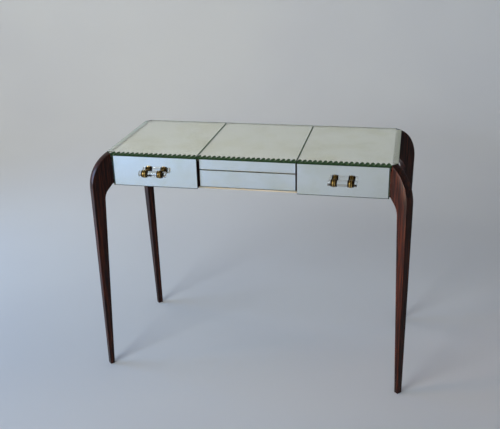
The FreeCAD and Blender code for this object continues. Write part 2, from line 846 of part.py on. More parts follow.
def twin_across_pull(name, source):
    twin = mirrored(name, source)
    twin.setExpression("Base.x", cells(f"-{pull_x}"))
    return twin


pair(gather("Part::Compound", "collars", [collar, twin_across_pull("collar_twin", collar)]), "pull_collars")
nut = doc.addObject("Part::Prism", "nut")
nut.Polygon = 6
nut.setExpression("Circumradius", cells("nut_radius"))
nut.setExpression("Height", cells("nut_height"))
nut.Placement = FreeCAD.Placement(FreeCAD.Vector(), axis_turns["y"])
set_place(nut, (stem_x, nut_y, pull_z))
pair(gather("Part::Compound", "nuts", [nut, twin_across_pull("nut_twin", nut)]), "pull_nuts")

doc.recompute()
failed = [item.Label for item in doc.Objects if {"Invalid", "Error"} & set(item.State)]
for piece in nodes:
    if piece.Shape.isNull() or not piece.Shape.isValid() or not piece.Shape.Solids:
        failed.append(piece.Label)
if failed:
    raise RuntimeError(f"These pieces failed to build: {failed}")

os.makedirs("parts", exist_ok=True)
for piece in nodes:
    piece.Shape.exportStep(f"parts/{piece.Label}.step")
print(f"{len(nodes)} nodes written")
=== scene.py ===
import json
import math

import bmesh
import bpy
from mathutils import Matrix, Vector

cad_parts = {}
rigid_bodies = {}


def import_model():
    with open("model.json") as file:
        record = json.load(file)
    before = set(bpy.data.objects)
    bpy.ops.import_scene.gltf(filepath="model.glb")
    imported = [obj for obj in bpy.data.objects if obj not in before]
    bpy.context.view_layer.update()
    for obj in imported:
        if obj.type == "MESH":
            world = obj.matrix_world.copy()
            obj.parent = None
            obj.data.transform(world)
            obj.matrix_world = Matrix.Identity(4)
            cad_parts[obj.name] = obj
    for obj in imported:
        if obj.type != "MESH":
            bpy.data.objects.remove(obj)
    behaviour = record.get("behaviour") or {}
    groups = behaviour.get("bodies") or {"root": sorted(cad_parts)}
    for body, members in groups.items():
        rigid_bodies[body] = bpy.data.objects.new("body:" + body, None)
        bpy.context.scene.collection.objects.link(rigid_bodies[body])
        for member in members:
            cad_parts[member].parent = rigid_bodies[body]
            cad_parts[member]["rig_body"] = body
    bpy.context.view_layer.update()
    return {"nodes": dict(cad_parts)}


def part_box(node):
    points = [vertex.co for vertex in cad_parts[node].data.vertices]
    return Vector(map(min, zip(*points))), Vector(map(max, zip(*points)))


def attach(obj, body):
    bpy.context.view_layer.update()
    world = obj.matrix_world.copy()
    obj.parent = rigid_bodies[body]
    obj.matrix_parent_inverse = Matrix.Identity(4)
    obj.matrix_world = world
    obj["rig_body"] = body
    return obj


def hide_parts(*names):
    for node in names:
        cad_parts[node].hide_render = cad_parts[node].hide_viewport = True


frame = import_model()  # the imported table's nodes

mm = 0.001
micronPlaces = 6  # decimals of a metre that corners are matched to
straightBend = 1e-10  # square metres; corners that turn by less lie on one line
nearLine = 1e-7  # square metres
soleDepth = 0.1 * mm  # corners this near a node's lowest level belong to its underside
nodes = frame["nodes"]
print("stage: frame loaded,", len(nodes), "nodes")


# Colours are written as sRGB hex and used as linear values
def toLinear(hexColour):
    channels = [int(hexColour[start:start + 2], 16) / 255 for start in (1, 3, 5)]
    return [c / 12.92 if c <= 0.04045 else ((c + 0.055) / 1.055) ** 2.4 for c in channels] + [1.0]


# Adds a node: settings by socket or attribute, links by socket, a ramp as (place, hex) stops
def addNode(tree, kind, settings=None, links=None, ramp=None):
    node = tree.nodes.new(kind)
    for key, value in (settings or {}).items():
        if isinstance(value, str) and value.startswith("#"):
            value = toLinear(value)
        if isinstance(key, int) or key in node.inputs:
            node.inputs[key].default_value = value
        else:
            setattr(node, key, value)
    for index, (place, stop) in enumerate(ramp or []):
        stops = node.color_ramp.elements
        element = stops[index] if index < len(stops) else stops.new(place)
        element.position = place
        element.color = toLinear(stop)
    for socket, source in (links or {}).items():
        tree.links.new(source, node.inputs[socket])
    return node


def newMaterial(name):
    material = bpy.data.materials.new(name)
    material.use_nodes = True
    tree = material.node_tree
    tree.nodes.clear()
    return material, tree, tree.nodes.new("ShaderNodeOutputMaterial")


# Camera: where the photograph was taken from, fitted to the corners of the top, the apron and the feet
cameraSetup = {
    "eye": (0.469, -2.2345, 1.4373),
    "turn": 12.70,  # degrees to the left of straight ahead
    "tilt": 22.52,  # degrees down
    "roll": -1.54,
    "lens": 52.85,  # millimetres
    "sensor": 36,  # millimetres across
}


def placeCamera():
    turn, tilt, roll = (math.radians(cameraSetup[key]) for key in ("turn", "tilt", "roll"))
    ahead = Vector((-math.sin(turn) * math.cos(tilt), math.cos(turn) * math.cos(tilt), -math.sin(tilt)))
    level = Vector((math.cos(turn), math.sin(turn), 0))
    upright = level.cross(ahead)
    right = level * math.cos(roll) + upright * math.sin(roll)
    up = upright * math.cos(roll) - level * math.sin(roll)
    data = bpy.data.cameras.new("photoCamera")
    data.lens = cameraSetup["lens"]
    data.sensor_width = cameraSetup["sensor"]
    camera = bpy.data.objects.new("photoCamera", data)
    axes = Matrix((right, up, -ahead)).transposed().to_4x4()
    camera.matrix_world = Matrix.Translation(cameraSetup["eye"]) @ axes
    bpy.context.scene.collection.objects.link(camera)
    bpy.context.scene.camera = camera


placeCamera()
bpy.context.scene.view_settings.view_transform = "Standard"

# Light runs far along inside a sheet of glass before it leaves at an edge
lightPaths = {"max_bounces": 128, "glossy_bounces": 112, "transmission_bounces": 64}
for setting, bounces in lightPaths.items():
    setattr(bpy.context.scene.cycles, setting, bounces)
print("stage: camera placed")


# Soda-lime sheet glass, ground and polished: clear through its thickness, bottle green along its length
sheetGlass = {
    "ior": 1.52,
    "roughness": 0.004,
    "smearMm": 90,
    "smearRoughness": 0.02,  # where a cloth has left a haze
    "groundRoughness": 0.15,  # of an edge left as it was ground
    "tint": "#7fd08c",
    "density": 5.0,  # per metre
}


def makeGlass(name, tinted):
    material, tree, output = newMaterial(name)
    place = addNode(tree, "ShaderNodeTexCoord")
    smear = addNode(
        tree,
        "ShaderNodeTexNoise",
        {"Scale": 1 / (sheetGlass["smearMm"] * mm), "Detail": 4, "Roughness": 0.6},
        {"Vector": place.outputs["Object"]},
    )
    haze = addNode(
        tree,
        "ShaderNodeMapRange",
        {
            "From Min": 0.45,
            "From Max": 0.8,
            "To Min": sheetGlass["roughness"],
            "To Max": sheetGlass["smearRoughness"],
        },
        {"Value": smear.outputs["Fac"]},
    )
    ground = addNode(tree, "ShaderNodeAttribute", {"attribute_name": "ground"})
    rough = addNode(
        tree,
        "ShaderNodeMath",
        {"operation": "MULTIPLY_ADD", 1: sheetGlass["groundRoughness"]},
        {0: ground.outputs["Fac"], 2: haze.outputs["Result"]},
    )
    shader = addNode(
        tree,
        "ShaderNodeBsdfPrincipled",
        {"Base Color": "#ffffff", "IOR": sheetGlass["ior"], "Transmission Weight": 1.0},
        {"Roughness": rough.outputs["Value"]},
    )
    tree.links.new(shader.outputs["BSDF"], output.inputs["Surface"])
    if tinted:
        absorb = addNode(
            tree,
            "ShaderNodeVolumeAbsorption",
            {"Color": sheetGlass["tint"], "Density": sheetGlass["density"]},
        )
        tree.links.new(absorb.outputs["Volume"], output.inputs["Volume"])
    return material


# Edges of the same glass, ground by hand: a little silky and opaque, with painted shade in dark bottle
# green where they are seen along the sheet and painted light, pale, where light crosses it
edgeShading = {
    # edge, flute and seam: opaque greens of painted shade, for the dim light that runs along inside the
    # sheet
    "edge": "#294126",
    "flute": "#445f3f",
    "seam": "#518353",
    "paintedPale": "#d6d8c8",  # flutes of the ends and edges of the centre strips: pale, painted light
    "paintedWhite": "#f8f8f0",  # plain back edge: near white, painted light for the wall behind seen through the glass
    "streakMm": 6,
    "smoothest": 0.35,
    "roughest": 0.55,
    "specular": 0.1,
}


def makeEdgeShading(name, colour):
    material, tree, output = newMaterial(name)
    place = addNode(tree, "ShaderNodeTexCoord")
    streak = addNode(
        tree,
        "ShaderNodeTexNoise",
        {"Scale": 1 / (edgeShading["streakMm"] * mm), "Detail": 3},
        {"Vector": place.outputs["Object"]},
    )
    silky = addNode(
        tree,
        "ShaderNodeMapRange",
        {
            "From Min": 0.3,
            "From Max": 0.7,
            "To Min": edgeShading["smoothest"],
            "To Max": edgeShading["roughest"],
        },
        {"Value": streak.outputs["Fac"]},
    )
    shader = addNode(
        tree,
        "ShaderNodeBsdfPrincipled",
        {"Base Color": colour, "IOR": sheetGlass["ior"], "Specular IOR Level": edgeShading["specular"]},
        {"Roughness": silky.outputs["Result"]},
    )
    tree.links.new(shader.outputs["BSDF"], output.inputs["Surface"])
    return material


# Chemically deposited silver on old glass: bright, a little warm, with faint yellow foxing and pin holes
silvering = {
    "clean": "#fbf8f0",
    "foxed": "#f3eeda",
    "speck": "#8f8a78",
    "cloudMm": 120,
    "speckMm": 14,  # from one pin hole to the next
    "speckShare": 0.25,  # of its colour that shows
    "cleanRoughness": 0.015,
    "foxedRoughness": 0.05,
}


def makeSilvering():
    material, tree, output = newMaterial("silveredGlassBacking")
    place = addNode(tree, "ShaderNodeTexCoord")
    cloud = addNode(
        tree,
        "ShaderNodeTexNoise",
        {"Scale": 1 / (silvering["cloudMm"] * mm), "Detail": 5, "Roughness": 0.62},
        {"Vector": place.outputs["Object"]},
    )
    foxing = addNode(
        tree,
        "ShaderNodeValToRGB",
        links={"Fac": cloud.outputs["Fac"]},
        ramp=[(0.45, silvering["clean"]), (0.75, silvering["foxed"])],
    )
    cells = addNode(
        tree,
        "ShaderNodeTexVoronoi",
        {"Scale": 1 / (silvering["speckMm"] * mm)},
        {"Vector": place.outputs["Object"]},
    )
    speck = addNode(
        tree,
        "ShaderNodeMapRange",
        {"From Min": 0.02, "From Max": 0.05, "To Min": silvering["speckShare"], "To Max": 0.0},
        {"Value": cells.outputs["Distance"]},
    )
    colour = addNode(
        tree,
        "ShaderNodeMix",
        {"data_type": "RGBA", 7: toLinear(silvering["speck"])},
        {0: speck.outputs["Result"], 6: foxing.outputs["Color"]},
    )
    dull = addNode(
        tree,
        "ShaderNodeMapRange",
        {
            "From Min": 0.4,
            "From Max": 0.75,
            "To Min": silvering["cleanRoughness"],
            "To Max": silvering["foxedRoughness"],
        },
        {"Value": cloud.outputs["Fac"]},
    )
    shader = addNode(
        tree,
        "ShaderNodeBsdfPrincipled",
        {"Metallic": 1.0},
        {"Base Color": colour.outputs[2], "Roughness": dull.outputs["Result"]},
    )
    tree.links.new(shader.outputs["BSDF"], output.inputs["Surface"])
    return material


# Scale of a pattern that runs on along the grain
def grainStretch(grainAxis, lengthen):
    return [1 / lengthen if axis == grainAxis else 1.0 for axis in "xyz"]


# Beech stained dark and french polished: nearly black, red brown where light falls on it,
# with a glassy film over fine pores
stainedBeech = {
    "deep": "#150a08",
    "body": "#26120e",
    "warm": "#562714",
    "grainMm": 5,
    "fleckMm": 0.9,  # real pores are finer and wouldn't show
    "fleckShare": 0.35,
    "fleckDepthMm": 0.1,
    "lengthen": 26,
    "ior": 1.4,
    "specular": 0.15,
    "smoothest": 0.26,
    "roughest": 0.42,
    "film": 0.13,
    "filmRoughness": 0.07,
    "filmIor": 1.5,
}


def makeStainedBeech(name, grainAxis):
    material, tree, output = newMaterial(name)
    place = addNode(tree, "ShaderNodeTexCoord")
    along = addNode(
        tree,
        "ShaderNodeMapping",
        {"Scale": grainStretch(grainAxis, stainedBeech["lengthen"])},
        {"Vector": place.outputs["Object"]},
    )
    grain = addNode(
        tree,
        "ShaderNodeTexNoise",
        {"Scale": 1 / (stainedBeech["grainMm"] * mm), "Detail": 6, "Roughness": 0.6, "Distortion": 0.4},
        {"Vector": along.outputs["Vector"]},
    )
    fleck = addNode(
        tree,
        "ShaderNodeTexNoise",
        {"Scale": 1 / (stainedBeech["fleckMm"] * mm), "Detail": 3},
        {"Vector": along.outputs["Vector"]},
    )
    both = addNode(
        tree,
        "ShaderNodeMath",
        {"operation": "MULTIPLY_ADD", 1: stainedBeech["fleckShare"]},
        {0: fleck.outputs["Fac"], 2: grain.outputs["Fac"]},
    )
    colour = addNode(
        tree,
        "ShaderNodeValToRGB",
        links={"Fac": both.outputs["Value"]},
        ramp=[(0.45, stainedBeech["deep"]), (0.66, stainedBeech["body"]), (0.86, stainedBeech["warm"])],
    )
    sheen = addNode(
        tree,
        "ShaderNodeMapRange",
        {
            "From Min": 0.3,
            "From Max": 0.8,
            "To Min": stainedBeech["smoothest"],
            "To Max": stainedBeech["roughest"],
        },
        {"Value": grain.outputs["Fac"]},
    )
    bump = addNode(
        tree,
        "ShaderNodeBump",
        {"Strength": 0.08, "Distance": stainedBeech["fleckDepthMm"] * mm},
        {"Height": fleck.outputs["Fac"]},
    )
    shader = addNode(
        tree,
        "ShaderNodeBsdfPrincipled",
        {
            "IOR": stainedBeech["ior"],
            "Specular IOR Level": stainedBeech["specular"],
            "Coat Weight": stainedBeech["film"],
            "Coat Roughness": stainedBeech["filmRoughness"],
            "Coat IOR": stainedBeech["filmIor"],
        },
        {
            "Base Color": colour.outputs["Color"],
            "Roughness": sheen.outputs["Result"],
            "Normal": bump.outputs["Normal"],
        },
    )
    tree.links.new(shader.outputs["BSDF"], output.inputs["Surface"])
    return material


# Poplar, planed and waxed: cream to honey, with soft straight grain
planedPoplar = {
    "light": "#d2cbb6",
    "mid": "#c9bfa4",
    "dark": "#b6a685",
    "ringMm": 9,
    "ringDepthMm": 0.15,
    "lengthen": 18,
    "ior": 1.5,
    "smoothest": 0.48,
    "roughest": 0.62,
}


def makePlanedPoplar(name, grainAxis):
    material, tree, output = newMaterial(name)
    place = addNode(tree, "ShaderNodeTexCoord")
    along = addNode(
        tree,
        "ShaderNodeMapping",
        {"Scale": grainStretch(grainAxis, planedPoplar["lengthen"])},
        {"Vector": place.outputs["Object"]},
    )
    rings = addNode(
        tree,
        "ShaderNodeTexNoise",
        {"Scale": 1 / (planedPoplar["ringMm"] * mm), "Detail": 6, "Roughness": 0.55, "Distortion": 0.8},
        {"Vector": along.outputs["Vector"]},
    )
    colour = addNode(
        tree,
        "ShaderNodeValToRGB",
        links={"Fac": rings.outputs["Fac"]},
        ramp=[(0.3, planedPoplar["dark"]), (0.5, planedPoplar["mid"]), (0.7, planedPoplar["light"])],
    )
    rub = addNode(
        tree,
        "ShaderNodeMapRange",
        {
            "From Min": 0.3,
            "From Max": 0.7,
            "To Min": planedPoplar["roughest"],
            "To Max": planedPoplar["smoothest"],
        },
        {"Value": rings.outputs["Fac"]},
    )
    bump = addNode(
        tree,
        "ShaderNodeBump",
        {"Strength": 0.15, "Distance": planedPoplar["ringDepthMm"] * mm},
        {"Height": rings.outputs["Fac"]},
    )
    shader = addNode(
        tree,
        "ShaderNodeBsdfPrincipled",
        {"IOR": planedPoplar["ior"]},
        {
            "Base Color": colour.outputs["Color"],
            "Roughness": rub.outputs["Result"],
            "Normal": bump.outputs["Normal"],
        },
    )
    tree.links.new(shader.outputs["BSDF"], output.inputs["Surface"])
    return material


# Yellow brass, turned and lacquered long ago: golden where hands rub it, brown where the lacquer has gone
turnedBrass = {
    "bright": "#ecca82",
    "dull": "#a98648",
    "brown": "#271d14",
    # painted shade: brown for the barrels' end rings, grooves and bores
    "shadeBrown": "#513f25",
    "patchMm": 6,
    "toolMarkMm": 4.4,  # real marks are far finer and wouldn't show
    "toolMarkDepthMm": 0.05,
    "waveTurn": 20,  # radians that the wave pattern runs through in one unit
    "smoothest": 0.2,
    "roughest": 0.42,
}


def makeTurnedBrass(name, ramp):
    material, tree, output = newMaterial(name)
    place = addNode(tree, "ShaderNodeTexCoord")
    patch = addNode(
        tree,
        "ShaderNodeTexNoise",
        {"Scale": 1 / (turnedBrass["patchMm"] * mm), "Detail": 5, "Roughness": 0.6},
        {"Vector": place.outputs["Object"]},
    )
    colour = addNode(tree, "ShaderNodeValToRGB", links={"Fac": patch.outputs["Fac"]}, ramp=ramp)
    rub = addNode(
        tree,
        "ShaderNodeMapRange",
        {
            "From Min": 0.3,
            "From Max": 0.7,
            "To Min": turnedBrass["roughest"],
            "To Max": turnedBrass["smoothest"],
        },
        {"Value": patch.outputs["Fac"]},
    )
    markScale = 2 * math.pi / (turnedBrass["toolMarkMm"] * mm) / turnedBrass["waveTurn"]
    marks = addNode(
        tree,
        "ShaderNodeTexWave",
        {"Scale": markScale, "Distortion": 1.0},
        {"Vector": place.outputs["Object"]},
    )
    bump = addNode(
        tree,
        "ShaderNodeBump",
        {"Strength": 0.1, "Distance": turnedBrass["toolMarkDepthMm"] * mm},
        {"Height": marks.outputs["Fac"]},
    )
    shader = addNode(
        tree,
        "ShaderNodeBsdfPrincipled",
        {"Metallic": 1.0},
        {
            "Base Color": colour.outputs["Color"],
            "Roughness": rub.outputs["Result"],
            "Normal": bump.outputs["Normal"],
        },
    )
    tree.links.new(shader.outputs["BSDF"], output.inputs["Surface"])
    return material


glass = makeGlass("polishedSodaLimeGlass", True)
rodGlass = makeGlass("drawnClearGlass", False)
silver = makeSilvering()
# Glass edges: the dark greens paint shade, the pale and the white one paint light
glassEdge = makeEdgeShading("glassEdgePaintedShade", edgeShading["edge"])
glassFlute = makeEdgeShading("glassFlutePaintedShade", edgeShading["flute"])
glassSeam = makeEdgeShading("glassSeamPaintedShade", edgeShading["seam"])
glassPaintedPale = makeEdgeShading("palePaintedLightGlass", edgeShading["paintedPale"])
glassPaintedWhite = makeEdgeShading("whitePaintedLightGlass", edgeShading["paintedWhite"])
darkWood = {axis: makeStainedBeech(f"frenchPolishedBeech_{axis}", axis) for axis in "xyz"}
paleWood = {axis: makePlanedPoplar(f"planedPoplar_{axis}", axis) for axis in "xy"}
brass = makeTurnedBrass(
    "turnedBrass",
    [(0.32, turnedBrass["brown"]), (0.48, turnedBrass["dull"]), (0.66, turnedBrass["bright"])],
)
# a brown copy that paints shade on the barrels' end rings, grooves and bores
shadedBrass = makeTurnedBrass(
    "brassPaintedShade",
    [(0.35, turnedBrass["brown"]), (0.8, turnedBrass["shadeBrown"])],
)
print("stage: materials made")


# Takes a finished shape into the scene as one piece of a body, standing for its node
def addPiece(name, shape, body, slot, materials, *stoodFor):
    mesh = bpy.data.meshes.new(name)
    shape.to_mesh(mesh)
    shape.free()
    for material in materials:
        mesh.materials.append(material)
    piece = bpy.data.objects.new(name, mesh)
    bpy.context.scene.collection.objects.link(piece)
    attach(piece, body)
    if stoodFor:
        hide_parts(*stoodFor)


def bodyOf(node):
    return nodes[node]["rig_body"]


# Corners of a node's underside in plan, counter-clockwise
def planOutline(node):
    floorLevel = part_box(node)[0].z + soleDepth
    corners = [v.co for v in nodes[node].data.vertices if v.co.z < floorLevel]
    ordered = sorted({(round(spot.x, micronPlaces), round(spot.y, micronPlaces)) for spot in corners})

    def halfHull(run):
        hull = []
        for point in run:
            while len(hull) > 1 and crossOf(hull[-2], hull[-1], point) <= straightBend:
                hull.pop()
            hull.append(point)
        return hull[:-1]

    return halfHull(ordered) + halfHull(ordered[::-1])


def crossOf(a, b, c):
    return (b[0] - a[0]) * (c[1] - a[1]) - (b[1] - a[1]) * (c[0] - a[0])


def onLine(spot, start, end):
    return abs(crossOf(start, end, spot)) < nearLine


# Mirrored top: thumb flutes ground along the front and the ends of three panels
fluteCut = {
    "pitch": 15.2 * mm,
    "depth": 4 * mm,
    "lean": math.radians(12.5),
    "land": 0.6 * mm,
    "facets": 14,
    "steep": 1,  # facets up each side of an end flute that take the green of painted shade
    "strip": 18.6 * mm,  # flat band that holds a row of flutes
    "square": 0.999,  # cosine from which an edge counts as running straight along the table
    "glueLine": 0.1 * mm,
}

# Which of a fluted panel's materials each zone of it takes
panelSlots = {
    "face": 0,
    "ground": 0,  # edges of the ends, clear but left rough
    "silver": 1,
    # the green zones carry painted shade, the pale and the white zones painted light
    "edge": 2,
    "flute": 3,
    "seam": 4,
    "paintedPale": 5,
    "paintedWhite": 6,
}
panelMaterials = [glass, silver, glassEdge, glassFlute, glassSeam, glassPaintedPale, glassPaintedWhite]
roundZones = {"flute", "paintedPale"}


# One cell of a fluted edge as points (along, inward, drop): its lip on the edge
# and its thumbnail on the face
def fluteCell(pitch):
    cosLean = math.cos(fluteCut["lean"])
    width = pitch - fluteCut["land"]
    depth = fluteCut["depth"]
    radius = (width ** 2 / 4 + depth ** 2) / (2 * depth)
    reach = math.sqrt(radius ** 2 - (radius - depth * cosLean) ** 2)
    lip = []
    nail = []
    for step in range(fluteCut["facets"] + 1):
        angle = math.asin(reach / radius) * (2 * step / fluteCut["facets"] - 1)
        drop = max(0.0, depth - (radius - radius * math.cos(angle)) / cosLean)
        along = pitch / 2 + radius * math.sin(angle)
        lip.append((along, 0.0, drop))
        nail.append((along, drop / math.tan(fluteCut["lean"]), 0.0))
    return lip, nail


def flutedPanel(name, node):
    outline = [Vector((x, y, 0)) for x, y in planOutline(node)]
    low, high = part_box(node)
    base = low.z + fluteCut["glueLine"]
    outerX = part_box("right_top_mirror")[1].x
    shape = bmesh.new()
    ground = shape.faces.layers.float.new("ground")
    known = {}
    zones = {}

    def vertex(spot, z):
        key = (round(spot.x, micronPlaces), round(spot.y, micronPlaces), round(z, micronPlaces))
        if key not in known:
            known[key] = shape.verts.new(key)
        return known[key]

    def face(spots, zone):
        loop = []
        for spot in spots:
            if spot not in loop:
                loop.append(spot)
        made = shape.faces.new(loop)
        made.material_index = panelSlots[zone]
        made[ground] = float(zone == "ground")
        made.smooth = zone in roundZones
        zones[made] = zone

    count = len(outline)
    rims = []
    for index in range(count):
        start, end = outline[index], outline[(index + 1) % count]
        run = (end - start).normalized()
        inward = Vector((-run.y, run.x, 0))
        onFront = abs(run.x) > fluteCut["square"] and abs(start.y - low.y) < mm
        onEnd = abs(run.y) > fluteCut["square"] and abs(abs(start.x) - outerX) < mm
        if not (onFront or onEnd):
            rims.append(None)
            continue
        length = (end - start).length
        cells = round(length / fluteCut["pitch"])
        pitch = length / cells
        lip, nail = fluteCell(pitch)
        inner = []
        for cell in range(cells):
            origin = start + run * (cell * pitch)
            follow = start + run * ((cell + 1) * pitch)
            lipRow = [vertex(origin + run * a + inward * t, high.z - d) for a, t, d in lip]
            nailRow = [vertex(origin + run * a + inward * t, high.z - d) for a, t, d in nail]
            nearTop, farTop = vertex(origin, high.z), vertex(follow, high.z)
            nearBack, farBack = vertex(origin, base), vertex(follow, base)
            nearIn = vertex(origin + inward * fluteCut["strip"], high.z)
            farIn = vertex(follow + inward * fluteCut["strip"], high.z)
            # front flutes and the steep sides of end flutes take painted shade, the rest of an end flute
            # painted light
            for step in range(len(lip) - 1):
                steep = min(step, len(lip) - 2 - step) < fluteCut["steep"]
                corners = [lipRow[step], lipRow[step + 1], nailRow[step + 1], nailRow[step]]
                face(corners, "flute" if onFront or steep else "paintedPale")
            wall = [nearBack, farBack, farTop] + lipRow[::-1] + [nearTop]
            face(wall, "edge" if onFront else "ground")
            face([nearTop] + nailRow + [farTop, farIn, nearIn], "face")
            inner.append(nearIn)
        inner.append(farIn)
        rims.append(inner)

    def underside(index):
        start, end = outline[index], outline[(index + 1) % count]
        cells = len(rims[index]) - 1 if rims[index] else 1
        return [vertex(start.lerp(end, step / cells), base) for step in range(cells)]

    # Plain edges: the wall below, and whatever of the edge isn't taken up by a flute row that ends on it
    field = []
    for index in range(count):
        if rims[index]:
            field += rims[index]
            continue
        start, end = outline[index], outline[(index + 1) % count]
        nearCorner, farCorner = vertex(start, high.z), vertex(end, high.z)
        rowBefore, rowAfter = rims[index - 1], rims[(index + 1) % count]
        near = rowBefore[-1] if rowBefore and onLine(rowBefore[-1].co, start, end) else nearCorner
        far = rowAfter[0] if rowAfter and onLine(rowAfter[0].co, start, end) else farCorner
        onBack = min(start.y, end.y) > high.y - mm
        onSeam = abs(start.x - end.x) < mm
        # the back edge takes painted light, seams and the other plain edges painted shade
        zone = "paintedWhite" if onBack else "seam" if onSeam else "edge"
        face([vertex(start, base), vertex(end, base), farCorner, far, near, nearCorner], zone)
        field += [spot for spot in (near, far) if spot not in field]
    face(field, "face")
    face([v for index in range(count) for v in underside(index)][::-1], "silver")
    for edge in shape.edges:
        touching = {zones[f] for f in edge.link_faces}
        edge.smooth = len(touching) == 1 or touching == roundZones
    bmesh.ops.recalc_face_normals(shape, faces=shape.faces)
    addPiece(name, shape, bodyOf(node), "mirror_glass", panelMaterials, node)


for side in ("left", "right"):
    flutedPanel(f"{side}FlutedTop", f"{side}_top_mirror")
flutedPanel("lidFlutedTop", "lid_top_mirror")
print("stage: fluted top cut")


# Flat mirrors: a glass sheet with a shallow bevel round its face, silvered on the side that is glued down
flatMirror = {
    "endBevel": 5 * mm,
    "vanityBevel": 12 * mm,
    "drop": 0.3 * mm,  # how far a bevel falls at the rim
    "glueLine": 0.1 * mm,
    "square": 0.9,  # cosine from which a face counts as the front or the back
}


def flatGlass(name, node, backing, bevelWidth, edge):
    backing = Vector(backing)
    low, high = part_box(node)
    thickness = abs((high - low).dot(backing))
    shape = bmesh.new()
    outline = planOutline(node)
    floor = [shape.verts.new((x, y, low.z)) for x, y in outline]
    roof = [shape.verts.new((x, y, high.z)) for x, y in outline]
    shape.faces.new(floor[::-1])
    shape.faces.new(roof)
    for index in range(len(outline)):
        after = (index + 1) % len(outline)
        shape.faces.new([floor[index], floor[after], roof[after], roof[index]])
    bmesh.ops.recalc_face_normals(shape, faces=shape.faces)
    glued = next(f for f in shape.faces if f.normal.dot(backing) > flatMirror["square"])
    shown = next(f for f in shape.faces if f.normal.dot(backing) < -flatMirror["square"])
    rim = {}  # each front corner with the back corner across the sheet from it
    for vert in shown.verts:
        rim[vert] = next(e.other_vert(vert) for e in vert.link_edges if e not in shown.edges[:])
    for f in shape.faces:
        f.material_index = 2 if abs(f.normal.dot(backing)) < flatMirror["square"] else 0
    if bevelWidth:
        bmesh.ops.inset_region(shape, faces=[shown], thickness=bevelWidth, use_even_offset=True)
        for front, back in rim.items():
            front.co = front.co.lerp(back.co, flatMirror["drop"] / thickness)
    for vert in glued.verts:
        vert.co -= backing * flatMirror["glueLine"]
    glued.material_index = 1
    addPiece(name, shape, bodyOf(node), "mirror_glass", [glass, silver, edge], node)


# drawer, end and vanity glass: their edges take the dark green of painted shade
for side, inward in (("left", 1), ("right", -1)):
    flatGlass(f"{side}DrawerGlass", f"{side}_drawer_mirror", (0, 1, 0), 0, glassEdge)
    flatGlass(f"{side}EndGlass", f"{side}_side_mirror", (inward, 0, 0), flatMirror["endBevel"], glassEdge)
# the centre strips' edges take the pale of painted light
flatGlass("wellStrip", "well_front_mirror", (0, 1, 0), 0, glassPaintedPale)
flatGlass("lidStrip", "lid_front_mirror", (0, 1, 0), 0, glassPaintedPale)
flatGlass("vanityGlass", "vanity_mirror", (0, 0, 1), flatMirror["vanityBevel"], glassEdge)
print("stage: flat mirrors cut")


# Turns a profile of (along, radius) points round a line through centre along axis
def lathe(shape, centre, axis, profile, segments, slots=None, closed=True):
    axis = Vector(axis).normalized()
    side = axis.orthogonal().normalized()
    other = axis.cross(side)
    rings = []
    for along, radius in profile:
        spot = Vector(centre) + axis * along
        if radius == 0:
            rings.append([shape.verts.new(spot)])
            continue
        ring = []
        for step in range(segments):
            angle = 2 * math.pi * step / segments
            outward = side * math.cos(angle) + other * math.sin(angle)
            ring.append(shape.verts.new(spot + outward * radius))
        rings.append(ring)
    pairs = len(rings) if closed else len(rings) - 1
    for index in range(pairs):
        first, second = rings[index], rings[(index + 1) % len(rings)]
        for step in range(segments):
            after = (step + 1) % segments
            corners = [
                first[step % len(first)],
                first[after % len(first)],
                second[after % len(second)],
                second[step % len(second)],
            ]
            loop = []
            for corner in corners:
                if corner not in loop:
                    loop.append(corner)
            if len(loop) > 2:
                made = shape.faces.new(loop)
                made.smooth = True
                made.material_index = slots[index] if slots else 0


# Creases the edges that turn by more than so many degrees
def sharpen(shape, degrees):
    bmesh.ops.recalc_face_normals(shape, faces=shape.faces)
    for edge in shape.edges:
        if len(edge.link_faces) == 2:
            edge.smooth = edge.calc_face_angle() < math.radians(degrees)


# Pulls: a glass rod in two turned brass barrels
pullParts = {
    "rodArris": 1.2 * mm,
    "rodArrisMiddle": 0.3,  # share of the arris at which its round passes the corner
    "rodSegments": 40,
    "rodCrease": 40,  # degrees
    "boreFit": 0.1 * mm,
    "barrelLength": 18.5 * mm,
    "barrelSpacing": 49 * mm,
    "barrelSegments": 48,
    "barrelCrease": 32,  # degrees
    "stemRadius": 4 * mm,
    "stemFillet": 0.8 * mm,
    "stemSegments": 32,
    "roseRadius": 7.2 * mm,
    "roseHeight": 2.4 * mm,
    "roseArris": 1.2 * mm,
    "roseCove": 0.3 * mm,
    "roseGap": 0.05 * mm,  # to the drawer's glass
}

# Half of a barrel's profile from its end to its middle: place from the end and depth under the belly
# in mm, and whether the metal from there on takes the brown of painted shade
barrelSteps = [
    (0.0, 2.2, True),
    (0.6, 1.4, True),
    (1.4, 1.1, True),
    (3.0, 1.1, True),
    (3.2, 2.4, True),
    (4.6, 2.4, True),
    (4.8, 0.5, False),
    (6.6, 0.15, False),
    (8.2, 0.0, True),
    (8.5, 0.8, True),
]


